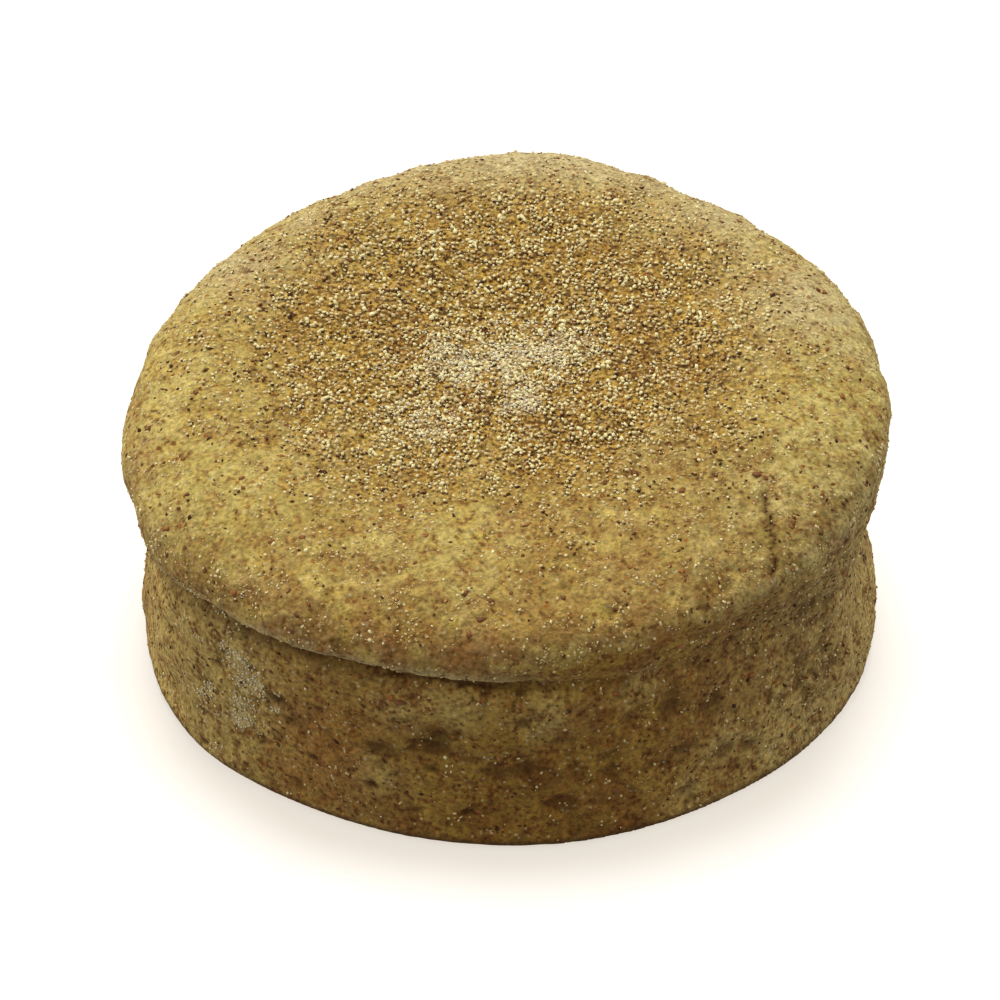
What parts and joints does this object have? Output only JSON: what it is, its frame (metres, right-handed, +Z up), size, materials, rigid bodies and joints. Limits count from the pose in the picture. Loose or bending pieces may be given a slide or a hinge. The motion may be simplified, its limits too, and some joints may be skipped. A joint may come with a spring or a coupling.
{
  "type": "english muffin",
  "caption": "Thick round wholemeal muffin with a browned, floury top, a broad rounded shoulder and a lip that hangs over the lower half.",
  "frame": {"origin": "under the middle of the object's box, on the flat face that the muffin rests on", "axes": "+Z up from the resting face, -Y towards the front, where the shoulder is broad and the lip hangs over a sharp crease, +X to the right"},
  "size_m": [0.089, 0.0862, 0.0401],
  "materials": {
    "wholemeal_crust": "matt baked wholemeal crust, golden brown and floury on top, duller brown on the side, with bran flecks and pale grains",
    "semolina": "pale, slightly glassy semolina grains dusted over the crust",
    "bran": "matt red-brown bran flakes",
    "dark_specks": "matt, nearly black scorched specks of bran"
  },
  "bodies": {
    "root": {"english_muffin": "wholemeal_crust"}
  },
  "joints": []
}
